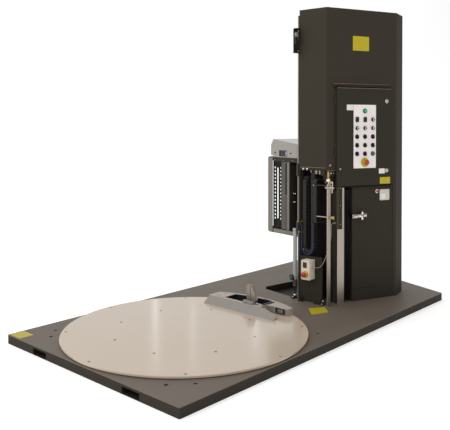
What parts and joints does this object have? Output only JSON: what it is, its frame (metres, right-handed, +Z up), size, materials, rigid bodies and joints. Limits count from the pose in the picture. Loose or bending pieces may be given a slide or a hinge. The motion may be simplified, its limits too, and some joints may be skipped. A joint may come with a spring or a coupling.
{
  "type": "turntable pallet wrapper",
  "caption": "Low-profile turntable stretch wrapper: flat base with fork pockets, round disc with film clamp, boxy tower with control door and a film carriage that rides up its mast.",
  "frame": {"origin": "on the floor at the middle of the base's bounding box", "axes": "+X along the base from the turntable to the tower, +Y across the base to the film carriage's side, +Z up"},
  "size_m": [3.296, 1.668, 2.364],
  "materials": {
    "tower_paint": "textured powder coat",
    "deck_paint": "worn satin paint",
    "base_paint": "satin paint",
    "disc_paint": "satin paint, scuffed",
    "clamp_paint": "satin paint",
    "bright_steel": "zinc plated",
    "chrome": "polished",
    "aluminium": "milled",
    "brass": "cast",
    "belt_rubber": "matt",
    "roller_rubber": "matt",
    "roller_grey": "matt",
    "black_plastic": "matt",
    "grey_plastic": "fine grain",
    "beige_plastic": "fine grain",
    "cable_plastic": "matt",
    "hose_plastic": "smooth",
    "plate_finish": "satin",
    "green_lens": "clear lens",
    "green_plastic": "smooth",
    "red_plastic": "smooth",
    "motor_paint": "gloss",
    "carriage_paint": "satin paint",
    "frame_grey": "satin paint"
  },
  "bodies": {
    "base": {"base_frame": "base_paint", "deck": "deck_paint", "bearing_ring": "bright_steel", "drive_belt": "belt_rubber", "table_gearmotor": "motor_paint", "mast": "tower_paint", "mast_rails": "bright_steel", "tower_cover": "tower_paint", "lower_panel": "tower_paint", "lower_cover": "base_paint", "support_post": "bright_steel", "wiper_brush": "black_plastic", "air_valve": "chrome", "valve_bank": "aluminium", "stop_box": "beige_plastic", "stop_cable": "cable_plastic", "drag_chain": "black_plastic", "air_hose": "hose_plastic", "roper_foot": "base_paint", "lift_gearmotor": "motor_paint", "lift_belt": "belt_rubber"},
    "turntable": {"turntable_disc": "disc_paint", "table_pulley": "bright_steel", "clamp_housing": "clamp_paint", "clamp_ramp": "clamp_paint", "fixed_jaw": "clamp_paint", "clamp_cylinder": "chrome"},
    "carriage": {"trolley": "carriage_paint", "carriage_frame": "frame_grey", "motor_hood": "grey_plastic", "perforated_guard": "carriage_paint"},
    "control_door": {"control_door": "tower_paint", "control_plate": "plate_finish", "pilot_light": "green_lens", "wrap_counters": "black_plastic", "selectors": "black_plastic"},
    "ball_cage": {"ball_cage": "brass"},
    "drive_pulley": {"drive_pulley": "bright_steel"},
    "clamp_jaw": {"clamp_jaw": "clamp_paint"},
    "clamp_rod": {"clamp_rod": "chrome"},
    "upper_lock": {"upper_lock": "chrome"},
    "lower_lock": {"lower_lock": "chrome"},
    "dial_1": {"dial_1": "black_plastic"},
    "dial_2": {"dial_2": "black_plastic"},
    "dial_3": {"dial_3": "black_plastic"},
    "dial_4": {"dial_4": "black_plastic"},
    "start_button": {"start_button": "green_plastic"},
    "stop_button": {"stop_button": "red_plastic"},
    "valve_handle": {"valve_handle": "chrome"},
    "reset_button": {"reset_button": "red_plastic"},
    "cutter_arm": {"cutter_arm": "bright_steel"},
    "box_stop_button": {"box_stop_button": "red_plastic"},
    "roper_tube": {"roper_tube": "aluminium"},
    "upper_pulley": {"upper_pulley": "bright_steel"},
    "lower_pulley": {"lower_pulley": "bright_steel"},
    "threading_gate": {"threading_gate": "grey_plastic"},
    "prestretch_roller_1": {"prestretch_roller_1": "roller_grey"},
    "prestretch_roller_2": {"prestretch_roller_2": "roller_rubber"},
    "idler_roller": {"idler_roller": "aluminium"},
    "film_mandrel": {"film_mandrel": "black_plastic"}
  },
  "joints": [
    {"name": "turntable_spin", "type": "hinge", "parent": "base", "child": "turntable", "pos_m": [-0.814, 0, 0.064], "axis": [0, 0, 1], "continuous": true},
    {"name": "ball_cage_spin", "type": "hinge", "parent": "base", "child": "ball_cage", "pos_m": [-0.814, 0, 0.034], "axis": [0, 0, 1], "continuous": true},
    {"name": "drive_pulley_spin", "type": "hinge", "parent": "base", "child": "drive_pulley", "pos_m": [0.78483, -0.37333, 0.046], "axis": [0, 0, 1], "continuous": true},
    {"name": "clamp_jaw_swing", "type": "hinge", "parent": "turntable", "child": "clamp_jaw", "pos_m": [-0.083, 0.01, 0.102], "axis": [1, 0, 0], "range_deg": [0, 35]},
    {"name": "clamp_rod_slide", "type": "slide", "parent": "turntable", "child": "clamp_rod", "axis": [0, -1, 0], "range_m": [0, 0.02]},
    {"name": "control_door_swing", "type": "hinge", "parent": "base", "child": "control_door", "pos_m": [0.43383, -0.37253, 1.34], "axis": [0, 0, -1], "range_deg": [0, 110]},
    {"name": "upper_lock_turn", "type": "hinge", "parent": "control_door", "child": "upper_lock", "pos_m": [0.87578, -0.56761, 1.645], "axis": [-0.3867, -0.9222, 0], "range_deg": [0, 90]},
    {"name": "lower_lock_turn", "type": "hinge", "parent": "control_door", "child": "lower_lock", "pos_m": [0.87578, -0.56761, 1.089], "axis": [-0.3867, -0.9222, 0], "range_deg": [0, 90]},
    {"name": "dial_1_turn", "type": "hinge", "parent": "control_door", "child": "dial_1", "pos_m": [0.74381, -0.5177, 1.4975], "axis": [-0.3867, -0.9222, 0], "range_deg": [-135, 135]},
    {"name": "dial_2_turn", "type": "hinge", "parent": "control_door", "child": "dial_2", "pos_m": [0.60456, -0.45931, 1.43], "axis": [-0.3867, -0.9222, 0], "range_deg": [-135, 135]},
    {"name": "dial_3_turn", "type": "hinge", "parent": "control_door", "child": "dial_3", "pos_m": [0.67419, -0.4885, 1.43], "axis": [-0.3867, -0.9222, 0], "range_deg": [-135, 135]},
    {"name": "dial_4_turn", "type": "hinge", "parent": "control_door", "child": "dial_4", "pos_m": [0.74381, -0.5177, 1.43], "axis": [-0.3867, -0.9222, 0], "range_deg": [-135, 135]},
    {"name": "start_button_press", "type": "slide", "parent": "control_door", "child": "start_button", "axis": [0.3867, 0.9222, 0], "range_m": [0, 0.004], "stiffness_N_per_m": 500},
    {"name": "stop_button_press", "type": "slide", "parent": "control_door", "child": "stop_button", "axis": [0.3867, 0.9222, 0], "range_m": [0, 0.004], "stiffness_N_per_m": 1200},
    {"name": "valve_handle_turn", "type": "hinge", "parent": "base", "child": "valve_handle", "pos_m": [0.6745, -0.48647, 0.738], "axis": [0.9222, -0.3867, 0], "range_deg": [0, 90]},
    {"name": "reset_button_press", "type": "slide", "parent": "base", "child": "reset_button", "axis": [0.3867, 0.9222, 0], "range_m": [0, 0.003], "stiffness_N_per_m": 400},
    {"name": "cutter_arm_swing", "type": "hinge", "parent": "base", "child": "cutter_arm", "pos_m": [0.35972, -0.23633, 0.86], "axis": [0, 0, -1], "range_deg": [0, 85]},
    {"name": "box_stop_button_press", "type": "slide", "parent": "base", "child": "box_stop_button", "axis": [0.9979, 0.0648, 0], "range_m": [0, 0.004], "stiffness_N_per_m": 1200},
    {"name": "roper_lift", "type": "slide", "parent": "base", "child": "roper_tube", "axis": [0, 0, 1], "range_m": [0, 0.2]},
    {"name": "carriage_lift", "type": "slide", "parent": "base", "child": "carriage", "axis": [0, 0, 1], "range_m": [-0.52, 0.95], "deforming": ["drag_chain"]},
    {"name": "upper_pulley_spin", "type": "hinge", "parent": "base", "child": "upper_pulley", "pos_m": [0.5807, -0.16194, 2.25], "axis": [0.3867, 0.9222, 0], "range_deg": [-720, 1320]},
    {"name": "lower_pulley_spin", "type": "hinge", "parent": "base", "child": "lower_pulley", "pos_m": [0.5807, -0.16194, 0.14], "axis": [0.3867, 0.9222, 0], "range_deg": [-720, 1320]},
    {"name": "threading_gate_swing", "type": "hinge", "parent": "carriage", "child": "threading_gate", "pos_m": [0.52651, 0.33696, 0.867], "axis": [0, 0, -1], "range_deg": [0, 95]},
    {"name": "prestretch_roller_1_spin", "type": "hinge", "parent": "carriage", "child": "prestretch_roller_1", "pos_m": [0.48813, 0.17111, 0.867], "axis": [0, 0, 1], "continuous": true},
    {"name": "prestretch_roller_2_spin", "type": "hinge", "parent": "carriage", "child": "prestretch_roller_2", "pos_m": [0.50216, 0.10669, 0.867], "axis": [0, 0, 1], "continuous": true},
    {"name": "idler_roller_spin", "type": "hinge", "parent": "carriage", "child": "idler_roller", "pos_m": [0.57195, 0.18578, 0.867], "axis": [0, 0, 1], "continuous": true},
    {"name": "film_mandrel_spin", "type": "hinge", "parent": "carriage", "child": "film_mandrel", "pos_m": [0.72953, 0.07168, 0.589], "axis": [0, 0, 1], "continuous": true}
  ],
  "couplings": [
    {"joint": "ball_cage_spin", "follows": "turntable_spin", "ratio": 0.5},
    {"joint": "drive_pulley_spin", "follows": "turntable_spin", "ratio": 5.3333},
    {"joint": "clamp_rod_slide", "follows": "clamp_jaw_swing", "m_per_rad": 0.032739},
    {"joint": "upper_pulley_spin", "follows": "carriage_lift", "rad_per_m": 23.641},
    {"joint": "lower_pulley_spin", "follows": "carriage_lift", "rad_per_m": 23.641},
    {"joint": "prestretch_roller_1_spin", "follows": "prestretch_roller_2_spin", "ratio": -3}
  ]
}
